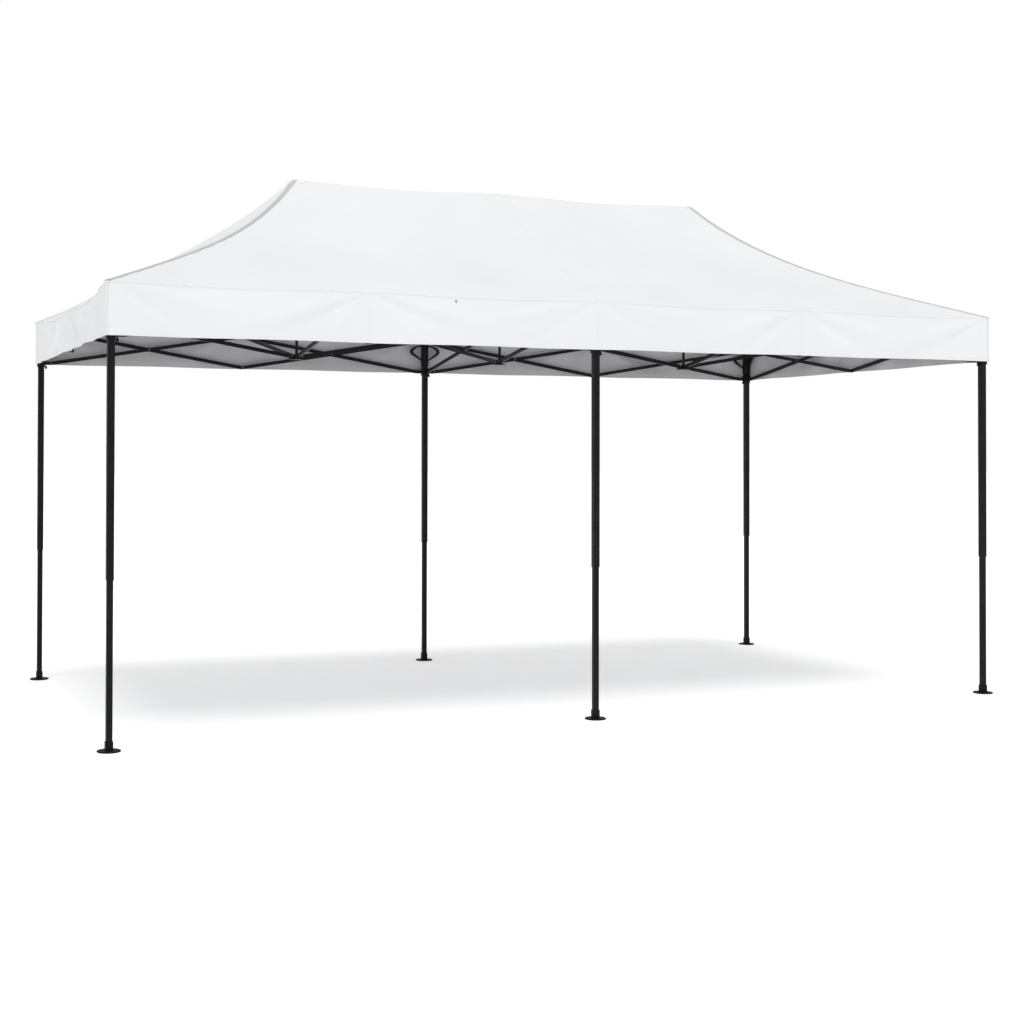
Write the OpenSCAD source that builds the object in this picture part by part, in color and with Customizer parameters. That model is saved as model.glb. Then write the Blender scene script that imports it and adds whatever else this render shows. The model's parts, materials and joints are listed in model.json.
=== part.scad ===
// Pop up canopy, two square bays long, with a folding scissor truss and a sewn fabric cover.
// Millimetres. The origin is on the ground under the middle. +X runs along the long side and +Z is up.

/* [Layout] */
// Distance between neighbouring leg axes, which is the whole width and half of the length
leg_spacing = 2925; // [2400:25:3000]
// Height of the upper row of pivots
upper_pivot_z = 2480; // [2200:10:2600]
// Height difference between the upper and the lower row of pivots
truss_drop = 232; // [180:2:300]

/* [Cover] */
// Height of the cover at its three peaks
peak_z = 3410; // [3100:10:3700]
// Height of the cover's eave over the upper pivots
eave_rise = 55; // [50:1:90]
// Height of the hanging valance
valance_drop = 295; // [150:5:400]
// How far the cover stands out from the leg axes
cover_margin = 32; // [32:1:60]
// Thickness of the cover's solid
cover_t = 1.5; // [1.5:0.5:4]
// How far the ridge hangs down between two peaks
ridge_sag = 20; // [0:1:60]

/* [Legs] */
// Outside width of the upper leg tube
outer_leg_w = 40; // [36:1:42]
// Outside width of the sliding leg tube
inner_leg_w = 34; // [28:1:35]
// Wall of both leg tubes
leg_wall = 1.2; // [1:0.1:1.5]
// Height of the lower end of the upper leg tube
outer_leg_bottom_z = 920; // [800:10:1000]
// Length of the sliding leg tube that stays inside the upper one
leg_overlap = 700; // [300:10:700]
// Diameter of the round foot plate
foot_d = 130; // [110:2:150]
// Thickness of the foot plate
foot_t = 8; // [5:1:12]

/* [Scissor bars] */
// Height of a bar's section
bar_h = 25; // [20:1:26]
// Thickness of a bar's section
bar_t = 13; // [10:0.5:13]
// Wall of a bar's tube
bar_wall = 0.8; // [0.8:0.1:2]
// Diameter of the pivot bolts
bolt_d = 6; // [5:0.5:7]
// Diameter of the three peak poles
pole_d = 19; // [16:1:20]

/* [Hidden] */
// Distances from an axis of a leg or hub to the bar pivots round it
LEG_ARM = 70;       // corner legs, and the middle legs along the long side
MID_ARM = 42;       // middle legs, towards the centre
HUB_ARM_Y = 28;     // centre hubs, across the canopy
HUB_ARM_X = 34;     // centre top hub, along the canopy
HUB_ARM = 36;       // left and right hubs
BALL_ARM = 34;      // from a truss plane to the ball that carries an inner arm

HALF_W = leg_spacing / 2;
HALF_L = leg_spacing;
LOWER_Z = upper_pivot_z - truss_drop;
SPAN = HALF_W - LEG_ARM;
BAR_LEN = sqrt(SPAN * SPAN + truss_drop * truss_drop);
TILT = atan2(truss_drop, SPAN);

LAYER_GAP = 1.5;                            // between the two layers of bars
LAYER_Y = (bar_t + LAYER_GAP) / 2;          // middle of a layer, from the truss plane
LAYER_OUT = bar_t + LAYER_GAP / 2;          // outer face of a layer, from the truss plane
PLAY = 0.25;                                // round a bolt in its bore
END_R = bar_h / 2;                          // rounded end of a bar
PLUG_LEN = 14;                              // from an end pivot to the end of its tube
CHEEK_T = 4;                                // wall of a fork
CHEEK_PLAY = 0.75;                          // between a fork and its bar
CHEEK_R = 12;
HEAD_H = 3.5;
HEAD_R = 5.5;
WASHER_R = 9;
SLEEVE_W = 50;                              // brackets and sliders, outside
SLEEVE_H = 56;
SLEEVE_PLAY = 0.5;                          // between a slider and its leg
FIXED_GAP = 0.15;                           // round a fixed bracket
PLATE_Z = 16;                               // from the pivots of a hub to its plate
PLATE_T = 6;
BALL_R = 10;
STUD_R = 5;
CLEVIS_T = 3;
CLEVIS_PLAY = 0.75;
CLEVIS_H = 18;
CLEVIS_LEN = 38;
BUSH_R = 8;                                 // crossing bush inside a bar
BUSH_PLAY = 0.05;
POLE_WALL = 1.2;
POLE_PLAY = 0.5;                            // round the centre pole in the lower hub
POLE_FIT = 0.1;                             // round a fixed pole in its hub
POLE_FOOT = 14;                             // from the pivots of a hub down to its pole's lower end
CAP_EDGE = 6;
CAP_GAP = 4;                                // between a pole's cap and the cover
BOSS_R = 13.5;
CAP_R = 26;
CAP_T = 14;
COLLAR_W = 42;
COLLAR_H = 48;
STAKE_SPACING = 100;
STAKE_R = 5.5;
BUTTON_R = 6;
BUTTON_UP = 45;                             // from the upper tube's lower end to its snap button
PULL_DOWN = 16;                             // from a slider's pivots to its pull button
GUIDE_H = 30;

LEG_TOP_Z = upper_pivot_z + SLEEVE_H / 2;
EAVE_Z = upper_pivot_z + eave_rise;
RIDGE_T = 0.975;                            // the cover's flat ridge starts here, from eave 0 to ridge 1
COVER_NX = 24;
COVER_NY = 12;
COVER_LEVELS = 8;

FRAME_COLOR = [0.10, 0.10, 0.11];
PLASTIC_COLOR = [0.04, 0.04, 0.045];
STEEL_COLOR = [0.55, 0.55, 0.57];
COVER_COLOR = [0.93, 0.93, 0.94];

// One row per scissor bar: name, x and y of its start pivot, heading, layer direction, and for a
// bar of kind a the place of the bolt that joins it to the next bay. A bar a falls along its
// heading from the upper pivots, and a bar b rises from the lower ones.
function trusses() = [
    for (s = [["front", -1], ["back", 1]]) for (k = [0:3])
        [str(s[0], "_bay_", k + 1), [-HALF_L + LEG_ARM, -HALF_W, LEG_ARM, HALF_W][k], s[1] * HALF_W,
            0, [0, s[1]], k % 2 == 0 ? "end" : "start"],
    for (s = [["left", -1], ["right", 1]]) for (k = [0:1])
        [str(s[0], "_bay_", k + 1), s[1] * HALF_L, k == 0 ? -SPAN : 0, 90, [s[1], 0],
            k == 0 ? "end" : "start"],
    for (s = [["front", -1], ["back", 1]])
        [str("cross_", s[0]), 0, s[1] * HUB_ARM_Y, s[1] * 90, [1, 0], "none"]
];
TRUSSES = trusses();

// One row per inner arm: name, x of its hub, heading away from the hub, and how its far end is held
ARMS = [
    for (s = [["left", -1], ["right", 1]]) each [
        [str("arm_", s[0], "_front"), s[1] * HALF_W, -90, "ball"],
        [str("arm_", s[0], "_back"), s[1] * HALF_W, 90, "ball"],
        [str("arm_", s[0], "_end"), s[1] * HALF_W, s[1] > 0 ? 0 : 180, "ball"],
        [str("arm_", s[0], "_centre"), s[1] * HALF_W, s[1] > 0 ? 180 : 0, "fork"]
    ]
];

// One row per leg: name, and its side along x and along y
LEGS = [
    ["front_left", -1, -1], ["front_middle", 0, -1], ["front_right", 1, -1],
    ["back_left", -1, 1], ["back_middle", 0, 1], ["back_right", 1, 1]
];

// Which side of a truss plane a layer is on, seen along a heading: 1 is left and -1 is right
function layer_side(dir, heading) = round(dir[1] * cos(heading) - dir[0] * sin(heading));

// The forks round a leg: heading, distance and layer side. top is true at the bracket and false
// at the slider. The bar a is at the bracket where the truss starts, and at the slider where it ends.
function leg_forks(g, top) = concat(
    [for (heading = g[1] < 0 ? [0] : g[1] > 0 ? [180] : [0, 180])
        let (holds_a = (heading == 0) == top)
        [heading, LEG_ARM, layer_side([0, holds_a ? g[2] : -g[2]], heading)]],
    [let (heading = -90 * g[2], middle = g[1] == 0)
        let (holds_a = middle ? !top : (g[2] < 0) == top)
        let (side = middle ? 1 : g[1])
        [heading, middle ? MID_ARM : LEG_ARM, layer_side([holds_a ? side : -side, 0], heading)]]
);

// ---- shared shapes ----

// A square of width w with corners of radius r, centred
module rounded_square(w, r) {
    square([w - 2 * r, w], center = true);
    square([w, w - 2 * r], center = true);
    for (x = [-1, 1]) for (y = [-1, 1])
        translate([x * (w / 2 - r), y * (w / 2 - r)]) circle(r = r, $fn = 32);
}

// A square tube along Z
module square_tube(w, wall, z0, z1) {
    translate([0, 0, z0]) linear_extrude(z1 - z0) difference() {
        rounded_square(w, 4);
        rounded_square(w - 2 * wall, 4 - wall);
    }
}

// A cylinder along Y from y0 to y1
module y_rod(r, y0, y1, sides = 40) {
    translate([0, y1, 0]) rotate([90, 0, 0]) cylinder(r = r, h = y1 - y0, $fn = sides);
}

// A bolt along Y that clamps what lies between y0 and y1, with its head and nut outside
module bolt(y0, y1) {
    color(STEEL_COLOR) {
        y_rod(bolt_d / 2, y0 - 0.5, y1 + 0.5);
        y_rod(HEAD_R, y0 - HEAD_H, y0, 6);
        y_rod(HEAD_R, y1, y1 + HEAD_H, 6);
    }
}

// The two walls of a fork round a bar in a layer, with the bolt. Its pivot is at the origin, the
// bar leaves along +X, and the walls reach back to x = -back and from z0 to z1 at full width.
module fork(side, back, z0, z1) {
    mid = side * LAYER_Y;
    half = bar_t / 2 + CHEEK_PLAY;
    color(PLASTIC_COLOR) for (s = [-1, 1])
        translate([0, mid + s * (half + CHEEK_T / 2), 0]) difference() {
            union() {
                y_rod(CHEEK_R, -CHEEK_T / 2, CHEEK_T / 2);
                translate([-back, -CHEEK_T / 2, z0]) cube([back, CHEEK_T, z1 - z0]);
            }
            y_rod(bolt_d / 2 + PLAY, -CHEEK_T, CHEEK_T);
        }
    bolt(mid - half - CHEEK_T, mid + half + CHEEK_T);
}

// ---- scissor bars and arms ----

// The plastic end of a bar, with its pivot at the origin and the tube along +X
module bar_plug() {
    color(PLASTIC_COLOR) difference() {
        union() {
            y_rod(END_R, -bar_t / 2, bar_t / 2);
            translate([0, -bar_t / 2, -bar_h / 2]) cube([PLUG_LEN - 0.1, bar_t, bar_h]);
            translate([PLUG_LEN - 1, -bar_t / 2 + bar_wall + 0.1, -bar_h / 2 + bar_wall + 0.1])
                cube([20, bar_t - 2 * bar_wall - 0.2, bar_h - 2 * bar_wall - 0.2]);
        }
        y_rod(bolt_d / 2 + PLAY, -bar_t, bar_t);
    }
}

// The forked end of an arm, which turns on the ball of a truss joint
module bar_clevis() {
    inner = BALL_R + CLEVIS_PLAY;
    color(PLASTIC_COLOR) difference() {
        union() {
            for (s = [-1, 1]) translate([0, s * (inner + CLEVIS_T / 2), 0]) {
                y_rod(CLEVIS_H / 2, -CLEVIS_T / 2, CLEVIS_T / 2);
                translate([0, -CLEVIS_T / 2, -CLEVIS_H / 2]) cube([CLEVIS_LEN, CLEVIS_T, CLEVIS_H]);
            }
            translate([PLUG_LEN, -inner - 1, -CLEVIS_H / 2])
                cube([CLEVIS_LEN - PLUG_LEN, 2 * inner + 2, CLEVIS_H]);
        }
        y_rod(bolt_d / 2 + PLAY, -2 * inner, 2 * inner);
    }
}

// The rectangular tube of a bar, between x0 and x1, with a crossing bore in its middle
module bar_tube(x0, x1, bored) {
    color(FRAME_COLOR) difference() {
        translate([x0, -bar_t / 2, -bar_h / 2]) cube([x1 - x0, bar_t, bar_h]);
        translate([x0 - 1, -bar_t / 2 + bar_wall, -bar_h / 2 + bar_wall])
            cube([x1 - x0 + 2, bar_t - 2 * bar_wall, bar_h - 2 * bar_wall]);
        if (bored) translate([BAR_LEN / 2, 0, 0]) y_rod(bolt_d / 2 + PLAY, -bar_t, bar_t);
    }
    if (bored) color(PLASTIC_COLOR) translate([BAR_LEN / 2, 0, 0]) difference() {
        y_rod(BUSH_R, -bar_t / 2 + bar_wall + BUSH_PLAY, bar_t / 2 - bar_wall - BUSH_PLAY);
        y_rod(bolt_d / 2 + PLAY, -bar_t, bar_t);
    }
}

// The bolt of a scissor joint through both layers, with the washer between them
module joint_bolt() {
    bolt(-LAYER_OUT, LAYER_OUT);
    color(PLASTIC_COLOR) difference() {
        y_rod(WASHER_R, -LAYER_GAP / 2 + 0.1, LAYER_GAP / 2 - 0.1);
        y_rod(bolt_d / 2 + PLAY, -2, 2);
    }
}

// The round stud and ball on a joint bolt that carry an inner arm, towards side
module ball_stud(side) {
    color(PLASTIC_COLOR) rotate([90, 0, 0]) rotate([0, side > 0 ? 180 : 0, 0]) {
        translate([0, 0, LAYER_OUT + HEAD_H + 0.1])
            cylinder(r = STUD_R, h = BALL_ARM - LAYER_OUT - HEAD_H, $fn = 40);
        translate([0, 0, BALL_ARM]) sphere(r = BALL_R, $fn = 40);
    }
}

// One bar of a truss row. Bar a also carries the bolts of the joints that it shares.
module scissor_bar(t, kind) {
    falls = kind == "a";
    side = layer_side(falls ? t[4] : -t[4], t[3]);
    translate([t[1], t[2], falls ? upper_pivot_z : LOWER_Z])
        rotate([0, 0, t[3]]) rotate([0, falls ? TILT : -TILT, 0]) {
            translate([0, side * LAYER_Y, 0]) {
                bar_tube(PLUG_LEN, BAR_LEN - PLUG_LEN, true);
                bar_plug();
                translate([BAR_LEN, 0, 0]) rotate([0, 0, 180]) bar_plug();
            }
            if (falls) {
                translate([BAR_LEN / 2, 0, 0]) joint_bolt();
                if (t[5] == "start") {
                    joint_bolt();
                    ball_stud(-side);
                }
                if (t[5] == "end") translate([BAR_LEN, 0, 0]) joint_bolt();
            }
        }
}

// An inner arm, which rises from its hub to a truss joint or to the centre top hub
module inner_arm(a) {
    translate([a[1], 0, LOWER_Z]) rotate([0, 0, a[2]]) translate([HUB_ARM, 0, 0])
        rotate([0, -TILT, 0]) {
            bar_plug();
            bar_tube(PLUG_LEN, BAR_LEN - (a[3] == "ball" ? CLEVIS_LEN : PLUG_LEN), false);
            translate([BAR_LEN, 0, 0]) rotate([0, 0, 180])
                if (a[3] == "ball") bar_clevis(); else bar_plug();
        }
}

// ---- legs ----

// A sleeve round a leg at height z, with the forks for its bars
module leg_bracket(g, z, top, play) {
    translate([g[1] * HALF_L, g[2] * HALF_W, z]) {
        color(PLASTIC_COLOR) translate([0, 0, -SLEEVE_H / 2]) linear_extrude(SLEEVE_H) difference() {
            rounded_square(SLEEVE_W, 5);
            rounded_square(outer_leg_w + 2 * play, 4);
        }
        for (f = leg_forks(g, top)) rotate([0, 0, f[0]]) translate([f[1], 0, 0])
            fork(f[2], f[1] - SLEEVE_W / 2 + 0.5, -CHEEK_R, CHEEK_R);
    }
}

// The upper leg tube, with its bracket, its top cap and the guide and button at its lower end
module outer_leg(g) {
    button_z = outer_leg_bottom_z + BUTTON_UP;
    leg_bracket(g, upper_pivot_z, true, FIXED_GAP);
    translate([g[1] * HALF_L, g[2] * HALF_W, 0]) {
        color(FRAME_COLOR) difference() {
            square_tube(outer_leg_w, leg_wall, outer_leg_bottom_z, LEG_TOP_Z - 4);
            translate([0, 0, button_z]) rotate([90 * g[2], 0, 0])
                cylinder(r = BUTTON_R + PLAY, h = outer_leg_w, $fn = 40);
        }
        color(PLASTIC_COLOR) {
            translate([0, 0, LEG_TOP_Z - 3.9]) linear_extrude(3.9)
                rounded_square(outer_leg_w, 4);
            translate([0, 0, outer_leg_bottom_z]) linear_extrude(GUIDE_H) difference() {
                rounded_square(outer_leg_w - 2 * leg_wall - 0.2, 2.5);
                rounded_square(inner_leg_w + 0.8, 3);
            }
        }
    }
}

// The sliding leg tube, with its foot
module inner_leg(g) {
    z0 = foot_t + 0.5;
    translate([g[1] * HALF_L, g[2] * HALF_W, 0]) {
        color(FRAME_COLOR) square_tube(inner_leg_w, leg_wall, z0, outer_leg_bottom_z + leg_overlap);
        color(PLASTIC_COLOR) translate([0, 0, outer_leg_bottom_z + BUTTON_UP])
            rotate([90 * g[2], 0, 0]) translate([0, 0, inner_leg_w / 2 + 0.1])
            cylinder(r = BUTTON_R - 1, h = 1.2, $fn = 40);
        color(PLASTIC_COLOR) difference() {
            union() {
                rotate_extrude($fn = 96) {
                    square([foot_d / 2 - foot_t / 2, foot_t]);
                    translate([foot_d / 2 - foot_t / 2, foot_t / 2]) intersection() {
                        circle(r = foot_t / 2, $fn = 32);
                        translate([0, -foot_t]) square([foot_t, 2 * foot_t]);
                    }
                }
                translate([0, 0, foot_t - 1]) linear_extrude(COLLAR_H + 1) difference() {
                    rounded_square(COLLAR_W, 5);
                    rounded_square(inner_leg_w + 0.3, 4);
                }
            }
            for (x = [-1, 1]) translate([x * STAKE_SPACING / 2, 0, -1])
                cylinder(r = STAKE_R, h = foot_t + 2, $fn = 48);
        }
    }
}

// The slider on a leg that carries the lower ends of the bars, with its pull button
module slider(g) {
    leg_bracket(g, LOWER_Z, false, SLEEVE_PLAY);
    color(STEEL_COLOR) translate([g[1] * HALF_L, g[2] * HALF_W, LOWER_Z - PULL_DOWN])
        rotate([90 * g[2], 0, 0]) translate([0, 0, SLEEVE_W / 2 + 0.05])
        cylinder(r = BUTTON_R, h = 4, $fn = 40);
}

// ---- hubs and poles ----

// A hub with a plate above (up = 1) or below (up = -1) its pivots. Each fork is heading, distance
// and layer side, where side 0 is a single bar in the middle.
module hub(forks, up, bore) {
    reach = max([for (f = forks) f[1]]) + CHEEK_R;
    difference() {
        union() {
            color(PLASTIC_COLOR) {
                translate([0, 0, up > 0 ? PLATE_Z : -PLATE_Z - PLATE_T])
                    cylinder(r = reach, h = PLATE_T, $fn = 96);
                translate([0, 0, -PLATE_Z]) cylinder(r = BOSS_R, h = 2 * PLATE_Z, $fn = 64);
            }
            for (f = forks) rotate([0, 0, f[0]]) translate([f[1], 0, 0]) hub_fork(f[2], up);
        }
        translate([0, 0, -2 * PLATE_Z]) cylinder(r = bore, h = 4 * PLATE_Z, $fn = 64);
    }
}

// The walls of one hub fork, standing on the hub's plate
module hub_fork(side, up) {
    mid = side * LAYER_Y;
    half = bar_t / 2 + CHEEK_PLAY;
    color(PLASTIC_COLOR) for (s = [-1, 1])
        translate([0, mid + s * (half + CHEEK_T / 2), 0]) difference() {
            union() {
                y_rod(CHEEK_R, -CHEEK_T / 2, CHEEK_T / 2);
                translate([-CHEEK_R, -CHEEK_T / 2, up > 0 ? 0 : -PLATE_Z - 1])
                    cube([2 * CHEEK_R, CHEEK_T, PLATE_Z + 1]);
            }
            y_rod(bolt_d / 2 + PLAY, -CHEEK_T, CHEEK_T);
        }
    bolt(mid - half - CHEEK_T, mid + half + CHEEK_T);
}

// A peak pole in a hub whose pivots are at height hub_z, reaching foot below them, with the round
// cap that lifts the cover
module pole(hub_z, foot) {
    top = peak_z - hub_z - cover_t - CAP_GAP;
    color(FRAME_COLOR) translate([0, 0, -foot]) difference() {
        cylinder(d = pole_d, h = top + foot - CAP_T + 0.5, $fn = 64);
        translate([0, 0, -1]) cylinder(d = pole_d - 2 * POLE_WALL, h = top + foot, $fn = 64);
    }
    color(PLASTIC_COLOR) translate([0, 0, top - CAP_T + 1])
        rotate_extrude($fn = 64) {
            square([CAP_R - CAP_EDGE, CAP_T - 1]);
            translate([CAP_R - CAP_EDGE, CAP_T - 1 - CAP_EDGE]) intersection() {
                circle(r = CAP_EDGE, $fn = 32);
                square([CAP_EDGE, CAP_EDGE]);
            }
        }
}

// The top hub holds the centre pole, whose lower end only rests in the lower hub's bore and
// leaves it as the frame folds.
module centre_top_hub() {
    translate([0, 0, upper_pivot_z]) {
        hub([[-90, HUB_ARM_Y, 1], [90, HUB_ARM_Y, -1], [0, HUB_ARM_X, 0], [180, HUB_ARM_X, 0]],
            1, pole_d / 2 + POLE_FIT);
        pole(upper_pivot_z, truss_drop + POLE_FOOT);
    }
}

module centre_lower_hub() {
    translate([0, 0, LOWER_Z])
        hub([[-90, HUB_ARM_Y, -1], [90, HUB_ARM_Y, 1]], -1, pole_d / 2 + POLE_PLAY);
}

module side_hub(side) {
    translate([side * HALF_W, 0, LOWER_Z]) {
        hub([for (heading = [0:90:270]) [heading, HUB_ARM, 0]], -1, pole_d / 2 + POLE_FIT);
        pole(LOWER_Z, PLATE_Z + PLATE_T - 0.5);
    }
}

// ---- cover ----

// Share of the roof's height at t, from the eave at 0 to the flat ridge at RIDGE_T. The roof is
// hollow, because the fabric hangs a little between the ridge and the eave.
function roof_curve(t) = 0.66 * t + 0.34 * pow(t, 4);
function roof_z(t, xi) = EAVE_Z + (peak_z - EAVE_Z) * roof_curve(t) / roof_curve(RIDGE_T)
    - ridge_sag * pow(sin(180 * xi), 2) * t;

// The points of one rectangular ring, counterclockwise from above, starting at the front left
function cover_ring(hl, hw, t, z_fixed, dz) = let (
    z = function (xi) (is_undef(z_fixed) ? roof_z(t, xi) : z_fixed) + dz
) concat(
    [for (i = [0:COVER_NX - 1]) let (xi = -1 + 2 * i / COVER_NX) [xi * hl, -hw, z(xi)]],
    [for (j = [0:COVER_NY - 1]) [hl, -hw + 2 * hw * j / COVER_NY, z(1)]],
    [for (i = [0:COVER_NX - 1]) let (xi = 1 - 2 * i / COVER_NX) [xi * hl, hw, z(xi)]],
    [for (j = [0:COVER_NY - 1]) [-hl, hw - 2 * hw * j / COVER_NY, z(-1)]]
);

// The rings of one skin, from the valance's lower edge to the ridge. in is 0 outside, and the
// cover's thickness inside.
function cover_rings(in) = let (
    hl = HALF_L + cover_margin - in, hw = HALF_W + cover_margin - in
) [
    cover_ring(hl, hw, 0, EAVE_Z - valance_drop, 0),
    for (k = [0:COVER_LEVELS]) let (t = RIDGE_T * (1 - pow(1 - k / COVER_LEVELS, 1.4)))
        cover_ring(HALF_L / 2 + (hl - HALF_L / 2) * (1 - t), hw * (1 - t), t, undef, -in)
];

// Triangles between two neighbouring rings, seen clockwise from outside, and turned over inside
function turned(faces, over) = over ? [for (f = faces) [f[2], f[1], f[0]]] : faces;
function ring_faces(low, high, n) = [
    for (i = [0:n - 1]) let (j = (i + 1) % n) each [
        [high + i, high + j, low + j], [high + i, low + j, low + i]]
];
// Triangles over the flat ridge of one skin, whose last ring starts at point s
function ridge_faces(s, n) = let (nx = COVER_NX, ny = COVER_NY, last = nx + ny) concat(
    [for (i = [1:nx - 2]) each [
        [s + i, s + last + nx - i - 1, s + i + 1], [s + i, s + last + nx - i, s + last + nx - i - 1]]],
    [for (j = [nx:last - 1]) [s + nx - 1, s + j + 1, s + j]],
    [[s + nx - 1, s + last + 1, s + last]],
    [[s + 1, s + last + nx, s + last + nx - 1]],
    [for (j = [last + nx:n - 1]) [s + 1, s + (j + 1) % n, s + j]]
);

module canopy_cover() {
    outer = cover_rings(0);
    inner = cover_rings(cover_t);
    n = len(outer[0]);
    r = len(outer);
    points = [for (ring = concat(outer, inner)) each ring];
    faces = concat(
        [for (k = [0:r - 2]) each ring_faces(k * n, (k + 1) * n, n)],
        ridge_faces((r - 1) * n, n),
        turned([for (k = [0:r - 2]) each ring_faces((r + k) * n, (r + k + 1) * n, n)], true),
        turned(ridge_faces((2 * r - 1) * n, n), true),
        ring_faces(r * n, 0, n)
    );
    color(COVER_COLOR) polyhedron(points = points, faces = faces, convexity = 6);
}

// ---- the assembly ----

canopy_cover();
centre_top_hub();
centre_lower_hub();
side_hub(-1);  // left_hub
side_hub(1);  // right_hub
for (t = TRUSSES) for (kind = ["a", "b"])
    scissor_bar(t, kind);
for (a = ARMS) inner_arm(a);
for (g = LEGS) {
    outer_leg(g);
    inner_leg(g);
    slider(g);
}
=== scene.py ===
import json
import math

import bpy
import numpy as np
from mathutils import Matrix


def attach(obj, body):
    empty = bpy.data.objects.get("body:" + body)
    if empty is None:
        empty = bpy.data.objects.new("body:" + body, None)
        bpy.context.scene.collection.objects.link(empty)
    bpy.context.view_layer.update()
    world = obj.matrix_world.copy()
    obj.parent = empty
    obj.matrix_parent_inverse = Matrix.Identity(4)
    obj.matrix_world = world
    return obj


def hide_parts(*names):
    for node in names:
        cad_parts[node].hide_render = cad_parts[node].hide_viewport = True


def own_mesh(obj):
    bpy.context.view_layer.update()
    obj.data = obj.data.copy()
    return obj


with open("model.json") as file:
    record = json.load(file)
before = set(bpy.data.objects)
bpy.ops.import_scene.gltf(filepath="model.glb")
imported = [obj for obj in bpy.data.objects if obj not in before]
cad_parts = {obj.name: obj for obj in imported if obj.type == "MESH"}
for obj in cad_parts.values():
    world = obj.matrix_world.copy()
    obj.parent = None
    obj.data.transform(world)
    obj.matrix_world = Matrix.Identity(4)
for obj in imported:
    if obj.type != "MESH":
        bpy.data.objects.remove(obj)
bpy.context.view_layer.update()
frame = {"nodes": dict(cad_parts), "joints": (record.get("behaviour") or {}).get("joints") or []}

# ---- sizes in metres, as in part.scad ----
HALF_W = 1.4625
HALF_L = 2.925
PEAK_X = HALF_L / 2
UPPER_Z = 2.480
LOWER_Z = 2.248
EAVE_Z = 2.535
PEAK_Z = 3.410
HEM_Z = 2.240
DROP = EAVE_Z - HEM_Z
EAVE_X = HALF_L + 0.032
EAVE_Y = HALF_W + 0.032
RIDGE_T = 0.975
RIDGE_SAG = 0.020
HIP_RUN = EAVE_X - PEAK_X
# How much of the roof's height follows a straight line, at the hips and then added half way
# along a side. The rest is steep near the ridge. The second is not in part.scad, whose roof is
# more hollow there.
STRAIGHT_HIP = 0.66
STRAIGHT_MORE = 0.16
CLOTH_T = 0.0011
LEG_ENDS = {"left": -1, "middle": 0, "right": 1}
LEG_SIDES = {"front": -1, "back": 1}

rng = np.random.default_rng(7)
nodes = frame["nodes"]


# ---- the camera, the floor and the light ----

def add_object(name, data):
    obj = bpy.data.objects.new(name, data)
    bpy.context.scene.collection.objects.link(obj)
    return obj


EYE = (-4.365, -10.017, 1.599)
HEADING = -0.3788
PITCH = 1.5855
ROLL = 0.0021
FLOOR_SIZE = 120

camera = add_object("camera", bpy.data.cameras.new("camera"))
camera.data.lens = 55.28
camera.data.sensor_width = 36
camera.data.shift_x = 0.0616
camera.data.shift_y = -0.0782
camera.data.clip_end = 300
camera.matrix_world = (
    Matrix.Translation(EYE)
    @ Matrix.Rotation(HEADING, 4, "Z")
    @ Matrix.Rotation(PITCH, 4, "X")
    @ Matrix.Rotation(ROLL, 4, "Z")
)
bpy.context.scene.camera = camera
bpy.context.scene.view_settings.view_transform = "Standard"


def add_node(tree, kind, settings=None, **inputs):
    """A new shader node. An input given as a socket is linked, and any other is set."""
    node = tree.nodes.new("ShaderNode" + kind)
    for key, value in (settings or {}).items():
        setattr(node, key, value)
    for key, value in inputs.items():
        socket = node.inputs[int(key[1:])] if key[0] == "i" and key[1:].isdigit() else node.inputs[
            key.replace("_", " ")]
        if isinstance(value, bpy.types.NodeSocket):
            tree.links.new(value, socket)
        else:
            socket.default_value = value
    return node


def add_world():
    """White where the camera looks, and dimmer as light."""
    world = bpy.data.worlds.new("studio")
    bpy.context.scene.world = world
    world.use_nodes = True
    tree = world.node_tree
    tree.nodes.clear()
    seen = add_node(tree, "Background", Color=(1, 1, 1, 1), Strength=1.0)
    light = add_node(tree, "Background", Color=(0.98, 0.99, 1, 1), Strength=0.55)
    path = add_node(tree, "LightPath")
    mix = add_node(tree, "MixShader", Fac=path.outputs["Is Camera Ray"],
                   i1=light.outputs[0], i2=seen.outputs[0])
    add_node(tree, "OutputWorld", Surface=mix.outputs[0])


def add_sun(name, strength, direction, spread_deg):
    """A soft distant light that shines along direction."""
    light = bpy.data.lights.new(name, "SUN")
    light.energy = strength
    light.angle = math.radians(spread_deg)
    obj = add_object(name, light)
    x, y, z = direction
    turn = math.atan2(y, x)
    tilt = math.acos(-z / math.sqrt(x * x + y * y + z * z))
    obj.matrix_world = Matrix.Rotation(turn, 4, "Z") @ Matrix.Rotation(-tilt, 4, "Y")


def add_floor(size):
    mesh = bpy.data.meshes.new("floor")
    corners = [(-size, -size, 0), (size, -size, 0), (size, size, 0), (-size, size, 0)]
    mesh.from_pydata(corners, [], [(0, 1, 2, 3)])
    obj = add_object("floor", mesh)
    material = bpy.data.materials.new("floor_paper")
    material.use_nodes = True
    shader = material.node_tree.nodes["Principled BSDF"]
    shader.inputs["Base Color"].default_value = (0.92, 0.92, 0.92, 1)
    shader.inputs["Roughness"].default_value = 0.9
    shader.inputs["Specular IOR Level"].default_value = 0.1
    shader.inputs["Emission Color"].default_value = (1, 1, 1, 1)
    shader.inputs["Emission Strength"].default_value = 0.34
    mesh.materials.append(material)


add_world()
add_sun("key", 1.55, (0.05, 0.34, -1.0), 30)
add_floor(FLOOR_SIZE)


# ---- materials ----

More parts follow.
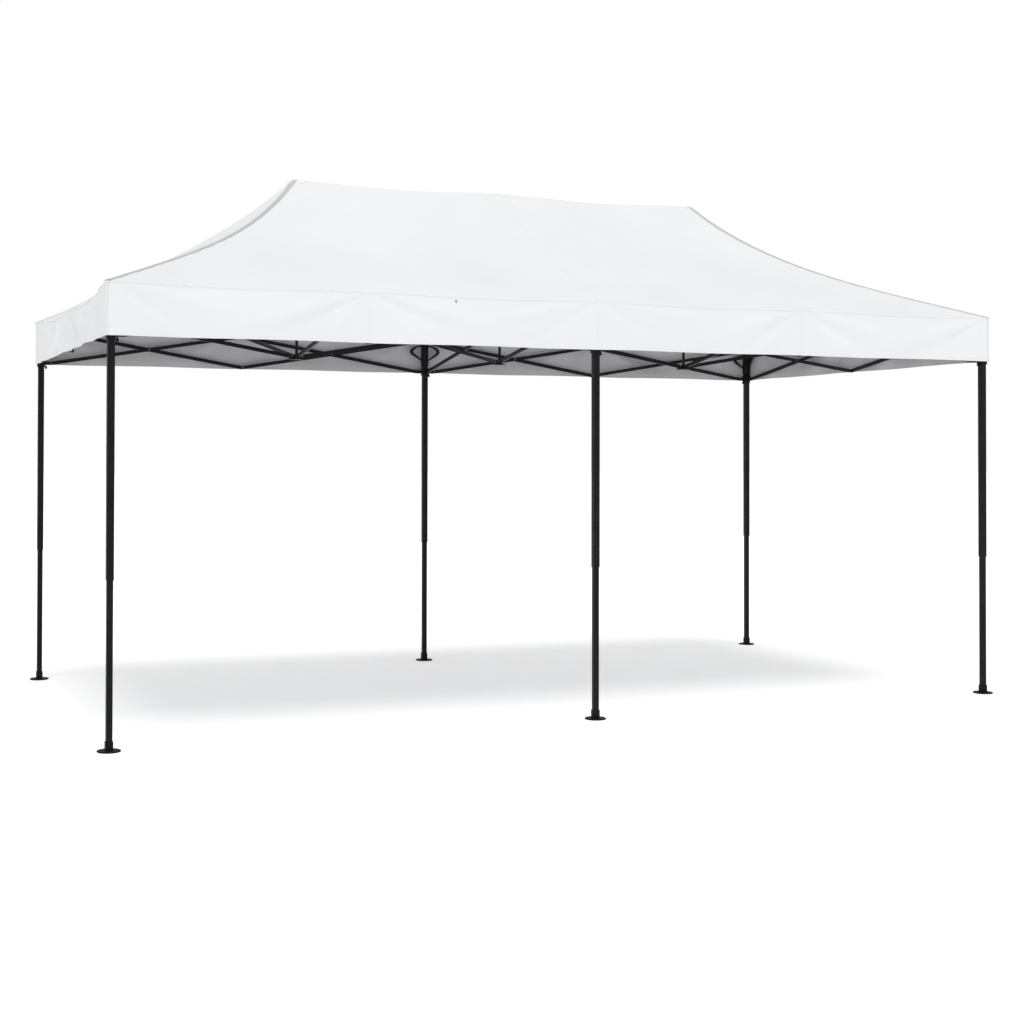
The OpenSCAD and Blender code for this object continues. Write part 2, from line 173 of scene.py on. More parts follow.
def principled(name, base, rough, metallic=0.0, specular=0.5):
    material = bpy.data.materials.new(name)
    material.use_nodes = True
    tree = material.node_tree
    shader = tree.nodes["Principled BSDF"]
    shader.inputs["Base Color"].default_value = (*base, 1)
    shader.inputs["Roughness"].default_value = rough
    shader.inputs["Metallic"].default_value = metallic
    shader.inputs["Specular IOR Level"].default_value = specular
    return material, tree, shader


def noise(tree, vector, scale, detail=3.0, rough=0.5):
    return add_node(tree, "TexNoise", Vector=vector, Scale=scale, Detail=detail,
                    Roughness=rough).outputs["Fac"]


def ramp(tree, factor, low, high, start=0.3, stop=0.7):
    """Goes from low to high, as greys or colours, while factor goes from start to stop."""
    node = add_node(tree, "ValToRGB", Fac=factor)
    for element, place, value in zip(node.color_ramp.elements, (start, stop), (low, high)):
        element.position = place
        element.color = (*value, 1) if hasattr(value, "__len__") else (value, value, value, 1)
    return node.outputs["Color"]


def bump(tree, height, strength, distance, normal=None):
    inputs = {"Height": height, "Strength": strength, "Distance": distance}
    if normal is not None:
        inputs["Normal"] = normal
    return add_node(tree, "Bump", **inputs).outputs["Normal"]


def black_finish(name, dark, light, rough, grain, grain_depth, metallic=0.0, edge=0.0008):
    """A black part: patchy colour and gloss, a fine grain, and softly rounded edges."""
    material, tree, shader = principled(name, dark, rough[0], metallic, 0.16)
    place = add_node(tree, "TexCoord").outputs["Object"]
    patches = noise(tree, place, 9.0, 4.0)
    tree.links.new(ramp(tree, patches, dark, light), shader.inputs["Base Color"])
    scuffs = noise(tree, place, 55.0, 5.0, 0.65)
    tree.links.new(ramp(tree, scuffs, rough[0], rough[1]), shader.inputs["Roughness"])
    soft = add_node(tree, "Bevel", {"samples": 3}, Radius=edge).outputs["Normal"]
    fine = noise(tree, place, grain, 2.0)
    tree.links.new(bump(tree, fine, 0.25, grain_depth, soft), shader.inputs["Normal"])
    return material


def cloth_finish(name, low, high, through, stitched):
    """Woven polyester. UVs are metres along the weave, and the point attribute stitch marks
    sewing."""
    material, tree, shader = principled(name, high, 0.72, 0.0, 0.25)
    shader.inputs["Sheen Weight"].default_value = 0.12
    shader.inputs["Sheen Roughness"].default_value = 0.5
    place = add_node(tree, "TexCoord")
    spots = noise(tree, place.outputs["Object"], 1.3, 4.0)
    colour = ramp(tree, spots, low, high, 0.25, 0.75)
    weave = []
    for axis in ("X", "Y"):
        wave = add_node(tree, "TexWave", {"bands_direction": axis, "wave_profile": "SIN"},
                        Vector=place.outputs["UV"], Scale=320.0, Distortion=0.6, Detail=1.0)
        weave.append(wave.outputs["Fac"])
    threads = add_node(tree, "Math", {"operation": "MULTIPLY"}, i0=weave[0], i1=weave[1])
    normal = bump(tree, threads.outputs[0], 0.10, 0.0002)
    creases = noise(tree, place.outputs["Object"], 14.0, 5.0, 0.6)
    normal = bump(tree, creases, 0.16, 0.004, normal)
    if stitched:
        mark = add_node(tree, "Attribute", {"attribute_name": "stitch"}).outputs["Fac"]
        dash = add_node(tree, "TexWave", {"bands_direction": "X", "wave_profile": "SIN"},
                        Vector=place.outputs["UV"], Scale=78.0).outputs["Fac"]
        thread = add_node(tree, "Math", {"operation": "MULTIPLY"}, i0=mark, i1=dash).outputs[0]
        colour = add_node(tree, "MixRGB", {"blend_type": "MULTIPLY"}, Fac=thread, Color1=colour,
                          Color2=(0.80, 0.80, 0.81, 1)).outputs["Color"]
        normal = bump(tree, thread, 0.5, 0.0006, normal)
    tree.links.new(colour, shader.inputs["Base Color"])
    tree.links.new(normal, shader.inputs["Normal"])
    if through:
        glow = add_node(tree, "BsdfTranslucent", Color=(0.86, 0.86, 0.88, 1))
        mix = add_node(tree, "MixShader", Fac=through, i1=shader.outputs[0], i2=glow.outputs[0])
        out = tree.nodes["Material Output"]
        tree.links.new(mix.outputs[0], out.inputs["Surface"])
    return material


POWDER = black_finish("black_powder_coat", (0.0035, 0.0035, 0.0040), (0.0075, 0.0075, 0.0080),
                      (0.40, 0.52), 1400.0, 0.00003)
NYLON = black_finish("black_nylon", (0.0030, 0.0030, 0.0035), (0.0070, 0.0070, 0.0075),
                     (0.50, 0.64), 700.0, 0.00006)
STEEL = black_finish("dark_zinc_steel", (0.16, 0.16, 0.17), (0.30, 0.30, 0.31),
                     (0.28, 0.42), 900.0, 0.00010, 1.0, 0.0004)
WEBBING = black_finish("black_webbing", (0.0040, 0.0040, 0.0045), (0.0090, 0.0090, 0.0095),
                       (0.70, 0.85), 1800.0, 0.00030)
COVER = cloth_finish("white_polyester", (0.835, 0.838, 0.852), (0.885, 0.886, 0.894), 0.03, True)
# The underside is a much darker grey than the cover: painted shade for the inside of the canopy.
UNDERSIDE_PAINTED_SHADE = cloth_finish("underside_painted_shade", (0.41, 0.41, 0.425), (0.47, 0.47, 0.485), 0.0, False)
# The tape's grey, darker than the cover, is painted shade along the raised hip seams.
SEAM_TAPE_PAINTED_SHADE = cloth_finish("seam_tape_painted_shade", (0.50, 0.50, 0.52), (0.60, 0.60, 0.62), 0.0, False)


# ---- the CAD nodes that stay ----

def pivot_lines():
    """The bolts' axes as (x, y, along y), from the joints, each at both rows of pivots."""
    lines = set()
    for joint in frame["joints"]:
        if joint["type"] == "hinge":
            x, y, _ = joint["pos_m"]
            lines.add((round(x, 5), round(y, 5), abs(joint["axis"][1]) > 0.5))
    return sorted(lines | {(x, -y, along) for x, y, along in lines})


PIVOTS = pivot_lines()
HEIGHTS = (UPPER_Z, LOWER_Z, (UPPER_Z + LOWER_Z) / 2)
BOLT_REACH = 0.0060
BAR_SKIN = 0.0139
END_REACH = 0.0190


def face_groups(name, corners):
    """Sorts a node's faces: 0 coated tube, 1 nylon, 2 bolt. corners is faces x 3 x 3."""
    low = corners.min(1)
    high = corners.max(1)
    moulded = "hub" in name or name.startswith("slider")
    group = np.full(len(corners), 1 if moulded else 0)
    if name.startswith("outer_leg"):
        group[(low[:, 2] > UPPER_Z - 0.0285)] = 1
    elif name.startswith("inner_leg"):
        group[high[:, 2] < 0.0575] = 1
        group[(low[:, 2] > 0.955) & (high[:, 2] < 0.975)] = 1
    elif "hub" in name:
        middle = (corners.reshape(-1, 3).min(0) + corners.reshape(-1, 3).max(0))[:2] / 2
        off = np.hypot(*(corners[:, :, :2] - middle).transpose(2, 0, 1)).max(1)
        tall = (high[:, 2] - low[:, 2] > 0.05) & (off < 0.011)
        group[tall] = 0
    for x, y, along_y in PIVOTS:
        flat, deep = (0, 1) if along_y else (1, 0)
        centre = (x, y)
        sideways = corners[:, :, flat] - centre[flat]
        if np.abs(sideways).min() > 0.03:
            continue
        outside = np.abs(corners[:, :, deep] - centre[deep]).min(1)
        for height in HEIGHTS:
            reach = np.hypot(sideways, corners[:, :, 2] - height).max(1)
            near = np.abs(corners[:, :, deep] - centre[deep]).max(1) < 0.05
            if not name.startswith(("outer_leg", "inner_leg", "slider")) and "hub" not in name:
                group[near & (reach < END_REACH)] = 1
            group[near & (reach < BOLT_REACH) & (outside > BAR_SKIN - 0.0005)] = 2
    return group


def dress_nodes():
    for name, obj in nodes.items():
        mesh = obj.data
        mesh.calc_loop_triangles()
        count = len(mesh.polygons)
        points = np.empty(len(mesh.vertices) * 3)
        mesh.vertices.foreach_get("co", points)
        points = points.reshape(-1, 3)
        starts = np.array([polygon.vertices[:3] for polygon in mesh.polygons])
        mesh.materials.clear()
        for material in (POWDER, NYLON, STEEL):
            mesh.materials.append(material)
        groups = face_groups(name, points[starts.reshape(count, 3)])
        mesh.polygons.foreach_set("material_index", groups.astype(np.int32))


dress_nodes()


# ---- the cover: one sheet, from the hem over the eave to the ridge ----

def bell(x, width):
    return np.exp(-(x / width) ** 2)


def roof_share(x, y):
    """How far up the roof a point is, from 0 at the eave to 1 at the ridge, and whether it lies
    on a long side."""
    across = np.abs(y) / EAVE_Y
    along = (np.abs(x) - PEAK_X) / HIP_RUN
    return np.clip(1 - np.maximum(across, along), 0, 1), across >= along


def side_place(x, y, share, on_long):
    """The place along a side, from -1 to 1 between its two hips."""
    half_x = PEAK_X + HIP_RUN * (1 - share)
    half_y = np.maximum(EAVE_Y * (1 - share), 1e-6)
    return np.where(on_long, x / half_x, np.clip(y / half_y, -1, 1))


def eave_sag(place, on_long):
    """How far the eave hangs between what holds it up: the legs and the truss joints."""
    long_sag = 0.008 * np.sin(2 * np.pi * place) ** 2
    short_sag = 0.047 * (1 - np.abs(place) ** 2.2) - 0.014 * bell(place, 0.15)
    return np.where(on_long, long_sag, short_sag)


def eave_pull(place, on_long):
    """How far the taut roof pulls the eave in between its supports."""
    return np.where(on_long, 0.020 * np.sin(2 * np.pi * place) ** 2,
                    0.028 * np.sin(np.pi * place) ** 2)


def peak_creases(x, y):
    """Fine creases that run out from the three peaks."""
    total = np.zeros_like(x)
    for k, peak in enumerate((-PEAK_X, 0.0, PEAK_X)):
        dx = x - peak
        away = np.hypot(dx, y)
        turn = np.arctan2(y, dx)
        waves = (np.sin(13 * turn + 1.3 + k) + 0.7 * np.sin(22 * turn + 0.4 + 2 * k)
                 + 0.5 * np.sin(37 * turn + 2.2 * k))
        total += 0.0036 * waves * np.clip(away / 0.15, 0, 1) * np.exp(-away / 0.55)
    return total


def hip_creases(x, y, share, place, on_long):
    """Short slanting creases beside the hips, where the two panels pull on the seam."""
    half = np.where(on_long, PEAK_X + HIP_RUN * (1 - share), EAVE_Y * (1 - share))
    gap = (1 - np.abs(place)) * half
    run = np.hypot(x, y)
    slant = np.sin(2 * np.pi * (run / 0.115 + gap / 0.16) + 1.7 * np.sin(9 * run))
    slant += 0.5 * np.sin(2 * np.pi * (run / 0.067 - gap / 0.21) + 2.0)
    return 0.0026 * slant * np.exp(-gap / 0.13) * np.clip(gap / 0.03, 0, 1) * (1 - share ** 4)


SWELLS = [(rng.uniform(0.9, 3.6) * math.cos(a), rng.uniform(0.9, 3.6) * math.sin(a),
           rng.uniform(0, 2 * math.pi)) for a in rng.uniform(0, math.pi, 9)]


def swells(x, y):
    return sum(np.sin(kx * x + ky * y + phase) for kx, ky, phase in SWELLS) / len(SWELLS)


def roof_height(x, y):
    """The height of the roof's fabric over a point."""
    share, on_long = roof_share(x, y)
    place = side_place(x, y, share, on_long)
    straight = STRAIGHT_HIP + STRAIGHT_MORE * np.cos(np.pi * place / 2) ** 2
    curve = straight * share + (1 - straight) * share ** 4
    curve = curve / (straight * RIDGE_T + (1 - straight) * RIDGE_T ** 4)
    crisp = 0.006
    curve = -crisp * np.log(np.exp(-curve / crisp) + np.exp(-1 / crisp))
    height = EAVE_Z + (PEAK_Z - EAVE_Z) * curve
    height -= eave_sag(place, on_long) * (1 - share) ** 3
    height -= RIDGE_SAG * np.where(on_long, np.sin(np.pi * place) ** 2, 0) * share
    middle = share * (1 - share)
    height -= np.where(on_long, 0.030 * np.sin(2 * np.pi * place) ** 2,
                       0.020 * np.cos(np.pi * place / 2) ** 2) * middle
    free = np.clip(share / 0.04, 0, 1) * np.clip((1 - share) / 0.03, 0, 1)
    height += free * (peak_creases(x, y) + hip_creases(x, y, share, place, on_long))
    return height + 0.006 * free * swells(x, y) * np.sqrt(middle) * 2


def tension_folds(run, fall, supports, lift):
    """Taut folds that fan down from each support of a valance. run is along the eave and fall is
    below it."""
    total = np.zeros_like(run)
    for k, support in enumerate(supports):
        dx = run - support
        away = np.hypot(dx, fall)
        turn = np.arctan2(fall, np.abs(dx) + 1e-6)
        left = dx < 0
        for j, (angle, width, size) in enumerate(((0.22, 0.07, 1.0), (0.47, 0.09, -0.8),
                                                  (0.80, 0.12, 0.55))):
            bend = angle + 0.06 * math.sin(2.3 * k + 1.9 * j) + np.where(left, 0.04, -0.03)
            fade = bell(away - (0.42 - 0.1 * j), 0.30) * np.clip(away / 0.10, 0, 1)
            total += lift * size * bell(turn - bend, width) * fade
    return total


LONG_SUPPORTS = (-EAVE_X, -PEAK_X, 0.0, PEAK_X, EAVE_X)
SHORT_SUPPORTS = (-EAVE_Y, 0.0, EAVE_Y)


def valance_out(side, run, fall):
    """How far the valance stands out from the eave's plane. side is 0 to 3 for front, right, back
    and left, run is the place along the side, and fall the distance below the eave."""
    on_long = side % 2 == 0
    half = np.where(on_long, EAVE_X, EAVE_Y)
    place = run / half
    share = fall / DROP
    out = -eave_pull(place, on_long) * bell(fall, 0.075)
    between = np.where(on_long, np.sin(2 * np.pi * place) ** 2, np.sin(np.pi * place) ** 2)
    out += 0.006 * between * bell(fall - 0.20, 0.08)
    shift = 0.7 * side
    folds = np.where(on_long, tension_folds(run, fall, LONG_SUPPORTS, 0.0090),
                     tension_folds(run, fall, SHORT_SUPPORTS, 0.0110))
    out += folds
    out += 0.0030 * share ** 2 * np.sin(2 * np.pi * run / 0.83 + shift)
    out += 0.0022 * share * np.sin(2 * np.pi * (run / 0.37 + 0.6 * share) + 2 * shift)
    out += np.where(on_long, 0.0, 0.0045) * np.sin(2 * np.pi * (run / 0.46 - share) + 1 + shift)
    gap = half - np.abs(run)
    pucker = np.sin(2 * np.pi * fall / 0.034 + 1.3 * np.sin(run * 40))
    out += 0.0012 * pucker * np.exp(-gap / 0.035)
    leg_gap = np.where(on_long, np.minimum(np.abs(gap), np.abs(run)), np.abs(gap))
    close = bell(leg_gap, 0.16)
    out = np.where(out < 0, out * (1 - 0.85 * close), out)
    out = np.maximum(out, np.where(fall > 0.05, -0.009, -1.0))
    return out * np.clip(gap / 0.02, 0, 1)


def hem_band(fall):
    """The doubled hem and the seam allowance under the eave stand out a little."""
    hem = np.clip((fall - (DROP - 0.024)) / 0.0015, 0, 1)
    top = np.clip((0.013 - fall) / 0.0015, 0, 1)
    return 0.0010 * hem + 0.0008 * top


def side_point(side, run, out, height):
    """Points on the four sides, with out measured from the eave's plane."""
    x = np.choose(side, [run, EAVE_X + out, -run, -EAVE_X - out])
    y = np.choose(side, [-EAVE_Y - out, run, EAVE_Y + out, -run])
    return np.stack([x, y, height], -1)


def valance_point(side, run, fall, lift=0.0):
    """A point of the valance, fall being in metres on an eave that doesn't sag."""
    on_long = side % 2 == 0
    half = np.where(on_long, EAVE_X, EAVE_Y)
    top = EAVE_Z - eave_sag(run / half, on_long)
    inside = np.clip((half - np.abs(run)) / 0.2, 0, 1)
    hem = HEM_Z + 0.002 * np.sin(2 * np.pi * run / 1.1 + side) * inside
    height = top + (hem - top) * fall / DROP
    out = valance_out(side, run, fall) + hem_band(fall) + lift
    return side_point(side, run, out, height)


LONG_STEPS = 264
SHORT_STEPS = 132
FALLS = np.array([0, 0.004, 0.010, 0.0135, 0.015, 0.020, 0.030, 0.042, 0.055, 0.070, 0.087, 0.105,
                  0.124, 0.143, 0.162, 0.181, 0.200, 0.218, 0.235, 0.250, 0.262, 0.2695, 0.2715,
                  0.2760, 0.2772, 0.2784, 0.2860, 0.2930, 0.295])[::-1]
SHARES = np.concatenate([[0.003, 0.008, 0.015, 0.024, 0.034], np.linspace(0.047, 0.955, 66),
                         [0.966, 0.975, 0.983, 0.990, 0.996]])


def cover_columns():
    """The side and the place from -1 to 1 of each column of points, counterclockwise from above."""
    sides, places = [], []
    for side, steps in enumerate((LONG_STEPS, SHORT_STEPS, LONG_STEPS, SHORT_STEPS)):
        sides += [side] * steps
        places += list(-1 + 2 * np.arange(steps) / steps)
    return np.array(sides), np.array(places)


def cover_mesh():
    """Rows of points round the valance and the roof, closed along the ridge."""
    side, place = cover_columns()
    count = len(side)
    half = np.where(side % 2 == 0, EAVE_X, EAVE_Y)
    rows, stitches, lengths = [], [], []
    for fall in FALLS:
        rows.append(valance_point(side, place * half, np.full(count, fall)))
        stitches.append(1.0 if abs(fall - 0.2772) < 1e-4 or abs(fall - 0.010) < 1e-4 else 0.0)
        lengths.append(DROP - fall)
    pull = eave_pull(place, side % 2 == 0)
    slope = math.hypot(EAVE_Y, PEAK_Z - EAVE_Z)
    for share in SHARES:
        half_x = PEAK_X + HIP_RUN * (1 - share)
        half_y = EAVE_Y * (1 - share)
        x = np.choose(side, [place * half_x, half_x + 0 * place,
                             -place * half_x, -half_x + 0 * place])
        y = np.choose(side, [-half_y + 0 * place, place * half_y,
                             half_y + 0 * place, -place * half_y])
        height = roof_height(x, y)
        inward = pull * math.exp(-share / 0.06)
        x = x - inward * np.choose(side, [0, 1, 0, -1])
        y = y - inward * np.choose(side, [-1, 0, 1, 0])
        rows.append(np.stack([x, y, height], -1))
        stitches.append(0.0)
        lengths.append(DROP + slope * share)
    return side, place, half, rows, stitches, lengths


def ridge_points():
    """The ridge's own points, one for each column of a long side, from left to right."""
    x = -PEAK_X + 2 * PEAK_X * np.arange(LONG_STEPS + 1) / LONG_STEPS
    return np.stack([x, 0 * x, roof_height(x, 0 * x)], -1)


def build_cover():
    side, place, half, rows, stitches, lengths = cover_mesh()
    count = len(side)
    ridge = ridge_points()
    points = np.concatenate(rows + [ridge])
    faces = []
    for r in range(len(rows) - 1):
        for c in range(count):
            d = (c + 1) % count
            faces.append((r * count + c, r * count + d, (r + 1) * count + d, (r + 1) * count + c))
    last = (len(rows) - 1) * count
    first_ridge = last + count
    for c in range(count):
        d = (c + 1) % count
        s = side[c]
        if s == 0:
            faces.append((last + c, last + d, first_ridge + c + 1, first_ridge + c))
        elif s == 1:
            faces.append((last + c, last + d, first_ridge + LONG_STEPS))
        elif s == 2:
            k = c - LONG_STEPS - SHORT_STEPS
            faces.append((last + c, last + d, first_ridge + LONG_STEPS - k - 1,
                          first_ridge + LONG_STEPS - k))
        else:
            faces.append((last + c, last + d, first_ridge))
    mesh = bpy.data.meshes.new("cover_fabric")
    mesh.from_pydata(points.tolist(), [], faces)
    marks = np.concatenate([np.full(count, s) for s in stitches] + [np.zeros(len(ridge))])
    attribute = mesh.attributes.new("stitch", "FLOAT", "POINT")
    attribute.data.foreach_set("value", marks.astype(np.float32))
    starts = np.choose(side, [0, 2 * EAVE_X, 2 * (EAVE_X + EAVE_Y), 4 * EAVE_X + 2 * EAVE_Y])
    along = starts + (place + 1) * half
    us = np.concatenate([along] * len(rows) + [ridge[:, 0] + EAVE_X])
    top = lengths[-1] + 0.006
    vs = np.concatenate([np.full(count, v) for v in lengths] + [np.full(len(ridge), top)])
    layer = mesh.uv_layers.new(name="cloth")
    index = np.empty(len(mesh.loops), np.int32)
    mesh.loops.foreach_get("vertex_index", index)
    u = us[index]
    sizes = np.array([len(face) for face in faces])
    face_of = np.repeat(np.arange(len(faces)), sizes)
    widest = np.maximum.reduceat(u, np.concatenate([[0], np.cumsum(sizes)[:-1]]))
    u = np.where(widest[face_of] - u > EAVE_X, u + 4 * (EAVE_X + EAVE_Y), u)
    layer.data.foreach_set("uv", np.stack([u, vs[index]], -1).astype(np.float32).ravel())
    mesh.materials.append(COVER)
    mesh.materials.append(UNDERSIDE_PAINTED_SHADE)
    mesh.polygons.foreach_set("use_smooth", [True] * len(mesh.polygons))
    obj = add_object("cover_fabric", mesh)
    thick = obj.modifiers.new("thickness", "SOLIDIFY")
    thick.thickness = CLOTH_T
    thick.offset = -1
    # The inner skin takes the second material, the darker underside: painted shade inside the
    # canopy.
    thick.material_offset = 1
    return obj


def strip(name, rails, material, thickness=0.0010):
    """A sewn strip through a grid of points: rails[i][j] is point j across at step i."""
    rails = np.asarray(rails)
    steps, across = rails.shape[:2]
    faces = [(i * across + j, i * across + j + 1, (i + 1) * across + j + 1, (i + 1) * across + j)
             for i in range(steps - 1) for j in range(across - 1)]
    mesh = bpy.data.meshes.new(name)
    mesh.from_pydata(rails.reshape(-1, 3).tolist(), [], faces)
    layer = mesh.uv_layers.new(name="cloth")
    run = np.concatenate([[0], np.cumsum(np.linalg.norm(np.diff(rails[:, 0], axis=0), axis=1))])
    wide = np.linspace(0, np.linalg.norm(rails[0, 0] - rails[0, -1]), across)
    index = np.empty(len(mesh.loops), np.int32)
    mesh.loops.foreach_get("vertex_index", index)
    uv = np.stack([run[index // across], wide[index % across]], -1)
    layer.data.foreach_set("uv", uv.astype(np.float32).ravel())
    mesh.materials.append(material)
    mesh.polygons.foreach_set("use_smooth", [True] * len(mesh.polygons))
    obj = add_object(name, mesh)
    thick = obj.modifiers.new("thickness", "SOLIDIFY")
    thick.thickness = thickness
    thick.offset = 0
    return obj


ACROSS = np.array([-1.0, -0.75, -0.3, 0.0, 0.3, 0.75, 1.0])
CROWN = np.array([0.1, 0.9, 0.75, 0.7, 0.75, 0.9, 0.1])


def roof_strip(name, start, stop, half_width, lift, material, steps=150):
    """A strip on the roof from start to stop, both given in plan."""
    start = np.array(start)
    stop = np.array(stop)
    run = (stop - start) / np.linalg.norm(stop - start)
    sideways = np.array([-run[1], run[0]])
    shares = np.linspace(0, 1, steps)[:, None, None]
    plan = start + shares * (stop - start) + half_width * ACROSS[None, :, None] * sideways
    height = roof_height(plan[..., 0], plan[..., 1]) + lift * CROWN
    return strip(name, np.concatenate([plan, height[..., None]], -1), material)


def corner_strip(name, side, half_width, lift, material):
    """A strip down the corner where a side meets the next one."""
    falls = np.linspace(0.001, DROP - 0.0005, 60)
    here = np.full(len(falls), side)
    after = np.full(len(falls), (side + 1) % 4)
    rails = []
    for a, c in zip(ACROSS, CROWN):
        before = a <= 0
        sides = here if before else after
        half = EAVE_X if sides[0] % 2 == 0 else EAVE_Y
        run = half + a * half_width if before else -half + a * half_width
        rails.append(valance_point(sides, np.full(len(falls), run), falls, lift * c))
    return strip(name, np.stack(rails, 1), material)


def valance_strip(name, side, run, half_width, lift, material):
    falls = np.linspace(0.002, DROP - 0.0005, 50)
    sides = np.full(len(falls), side)
    rails = [valance_point(sides, np.full(len(falls), run + a * half_width), falls, lift * c)
             for a, c in zip(ACROSS, CROWN)]
    return strip(name, np.stack(rails, 1), material)


def peak_patch(name, x0):
    """A round doubled patch over a peak."""
    radii = np.array([0.0, 0.010, 0.020, 0.030, 0.040, 0.050, 0.058, 0.0592])
    turns = np.linspace(0, 2 * np.pi, 73)
    plan_x = x0 + radii[None, :] * np.cos(turns)[:, None]
    plan_y = radii[None, :] * np.sin(turns)[:, None]
    lift = np.array([0.0010] * 6 + [0.0008, 0.0])
    height = roof_height(plan_x, plan_y) + lift
    return strip(name, np.stack([plan_x, plan_y, height], -1), COVER, 0.0006)


def build_seams():
    seams = []
    for end, sx in (("left", -1), ("right", 1)):
        for row, sy in LEG_SIDES.items():
            corner = (sx * (EAVE_X - 0.002), sy * (EAVE_Y - 0.002))
            # The hip tapes are grey with painted shade of the raised seam.
            seams.append(roof_strip(f"hip_tape_{row}_{end}", (sx * PEAK_X, 0.0), corner,
                                    0.017, 0.0045, SEAM_TAPE_PAINTED_SHADE))
    for row, sy in LEG_SIDES.items():
        seams.append(roof_strip(f"middle_seam_{row}", (0.0, 0.0), (0.0, sy * (EAVE_Y - 0.004)),
                                0.003, 0.0005, COVER))
    for side, name in enumerate(("front_right", "back_right", "back_left", "front_left")):
        seams.append(corner_strip(f"corner_seam_{name}", side, 0.005, 0.0012, COVER))
    for side, row in ((0, "front"), (2, "back")):
        for k, run in enumerate((-PEAK_X, 0.0, PEAK_X)):
            seams.append(valance_strip(f"valance_seam_{row}_{k + 1}", side, run,
                                       0.003, 0.0006, COVER))
    for name, x0 in (("left", -PEAK_X), ("centre", 0.0), ("right", PEAK_X)):
        seams.append(peak_patch(f"peak_patch_{name}", x0))
    return seams


cover = build_cover()
seams = build_seams()


# ---- straps, knobs and the eyelet ----

def strap_path(points, steps=6):
    """The corners of a strap joined by straight runs. Each holds a place and a thickness."""
    points = np.asarray(points, float)
    shares = np.arange(steps)[:, None] / steps
    runs = [a + (b - a) * shares for a, b in zip(points[:-1], points[1:])]
    return np.concatenate(runs + [points[-1:]])


def closed_grid(name, grid, material, smooth=True):
    """A tube through rings of points, grid[i][j] being point j of ring i, with flat ends."""
    grid = np.asarray(grid)
    rings, around = grid.shape[:2]
    faces = [(i * around + j, i * around + (j + 1) % around, (i + 1) * around + (j + 1) % around,
              (i + 1) * around + j) for i in range(rings - 1) for j in range(around)]
    faces.append(tuple(range(around))[::-1])
    faces.append(tuple((rings - 1) * around + j for j in range(around)))
    mesh = bpy.data.meshes.new(name)
    mesh.from_pydata(grid.reshape(-1, 3).tolist(), [], faces)
    mesh.materials.append(material)
    mesh.polygons.foreach_set("use_smooth", [smooth] * len(mesh.polygons))
    return add_object(name, mesh)


BAND_SECTION = [(-1.0, -0.6), (-0.9, -1.0), (0.9, -1.0), (1.0, -0.6), (1.0, 0.6), (0.9, 1.0),
                (-0.9, 1.0), (-1.0, 0.6)]


def band_loop(name, leg_x, leg_y, direction, shape, half_width):
    """A pointed strap beside a leg. shape holds (distance from the leg's axis, height, half of
    the strap's thickness)."""
    path = strap_path(shape)
    along = np.array([direction[0], direction[1], 0.0])
    side = np.array([-direction[1], direction[0], 0.0])
    rings = []
    for k, (reach, height, half_thick) in enumerate(path):
        before = path[max(k - 1, 0)][:2]
        after = path[min(k + 1, len(path) - 1)][:2]
        step = (after - before) / np.linalg.norm(after - before)
        normal = -step[1] * along + np.array([0, 0, step[0]])
        centre = np.array([leg_x, leg_y, height]) + reach * along
        rings.append([centre + a * half_width * side + b * half_thick * normal
                      for a, b in BAND_SECTION])
    return ride_leg(closed_grid(name, rings, WEBBING), name)


def ride_leg(obj, name):
    """Rides on the outer leg of its name."""
    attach(obj, name.replace("strap_", "outer_leg_").rsplit("_", 1)[0])
    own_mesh(obj)
    return obj


LONG_STRAP = [(0.022, 2.452, 0.0040), (0.075, 2.440, 0.0060), (0.106, 2.419, 0.0095),
              (0.112, 2.401, 0.0100), (0.098, 2.385, 0.0085), (0.065, 2.362, 0.0055),
              (0.022, 2.334, 0.0040)]
SHORT_STRAP = [(0.022, 2.446, 0.0035), (0.058, 2.443, 0.0050), (0.082, 2.432, 0.0080),
               (0.086, 2.419, 0.0085), (0.074, 2.402, 0.0070), (0.050, 2.372, 0.0045),
               (0.022, 2.342, 0.0035)]


def leg_wrap(name, leg_x, leg_y):
    """The webbing wrapped round a leg, from which the straps start."""
    corners = []
    for k in range(24):
        turn = 2 * math.pi * (k + 0.5) / 24
        c, s = math.cos(turn), math.sin(turn)
        size = (abs(c) ** 6 + abs(s) ** 6) ** (-1 / 6)
        corners.append((c * size, s * size))
    heights = [(2.296, 0.0222), (2.2985, 0.0240), (2.352, 0.0246), (2.402, 0.0240),
               (2.4475, 0.0244), (2.450, 0.0222)]
    rings = [[(leg_x + r * a, leg_y + r * b, z) for a, b in corners] for z, r in heights]
    obj = closed_grid(name, rings, WEBBING)
    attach(obj, name.replace("leg_wrap_", "outer_leg_"))


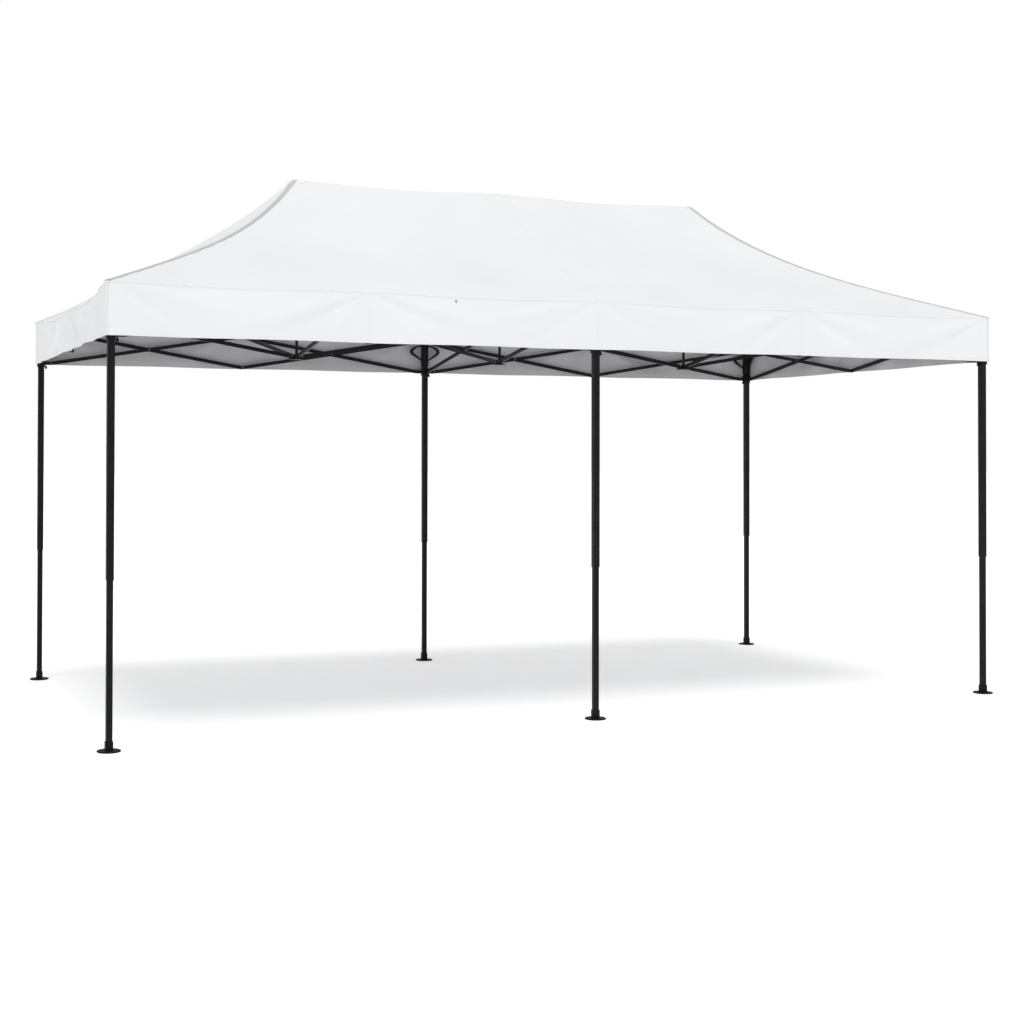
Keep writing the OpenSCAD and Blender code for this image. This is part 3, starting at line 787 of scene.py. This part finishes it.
def pull_knob(name, x, y, top, body):
    """A small turned knob hanging under a slider."""
    profile = [(0.0030, 0.0), (0.0030, -0.008), (0.0048, -0.010), (0.0072, -0.014),
               (0.0080, -0.019), (0.0072, -0.024), (0.0046, -0.028), (0.0012, -0.0295)]
    turns = np.linspace(0, 2 * np.pi, 24, endpoint=False)
    rings = [[(x + r * math.cos(a), y + r * math.sin(a), top + z) for a in turns]
             for r, z in profile]
    obj = closed_grid(name, rings, NYLON)
    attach(obj, body)
    return obj


def build_hardware():
    for row, sy in LEG_SIDES.items():
        for end, sx in LEG_ENDS.items():
            leg = f"{row}_{end}"
            x, y = sx * HALF_L, sy * HALF_W
            leg_wrap(f"leg_wrap_{leg}", x, y)
            inward = [(1, 0), (-1, 0)] if sx == 0 else [(-sx, 0)]
            for k, direction in enumerate(inward):
                band_loop(f"strap_{leg}_{k + 1}", x, y, direction, LONG_STRAP, 0.009)
            if sx != 0:
                band_loop(f"strap_{leg}_3", x, y, (0, -sy), SHORT_STRAP, 0.007)
            knob_side = 1 if sx <= 0 else -1
            pull_knob(f"pull_knob_{leg}", x + 0.034 * knob_side, y, LOWER_Z - 0.0115,
                      f"slider_{leg}")


def build_eyelet():
    """A small dark eyelet in the front valance, under the eave."""
    run, fall = -0.924, 0.030
    centre = valance_point(np.array([0]), np.array([run]), np.array([fall]))[0]
    rings = []
    for turn in np.linspace(0, 2 * np.pi, 29):
        out = np.array([math.cos(turn), 0.0, math.sin(turn)])
        rings.append([centre + (0.0055 + 0.0016 * math.cos(a)) * out
                      + np.array([0, -0.0012 + 0.0014 * math.sin(a), 0])
                      for a in np.linspace(0, 2 * np.pi, 10, endpoint=False)])
    return closed_grid("eyelet", rings, STEEL)


def carry_cover():
    """The cover and what is sewn to it ride on the top hub."""
    parts = seams + [build_eyelet()]
    for obj in [cover] + parts:
        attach(obj, "centre_top_hub")
        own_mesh(obj)
    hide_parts("canopy_cover")


build_hardware()
carry_cover()
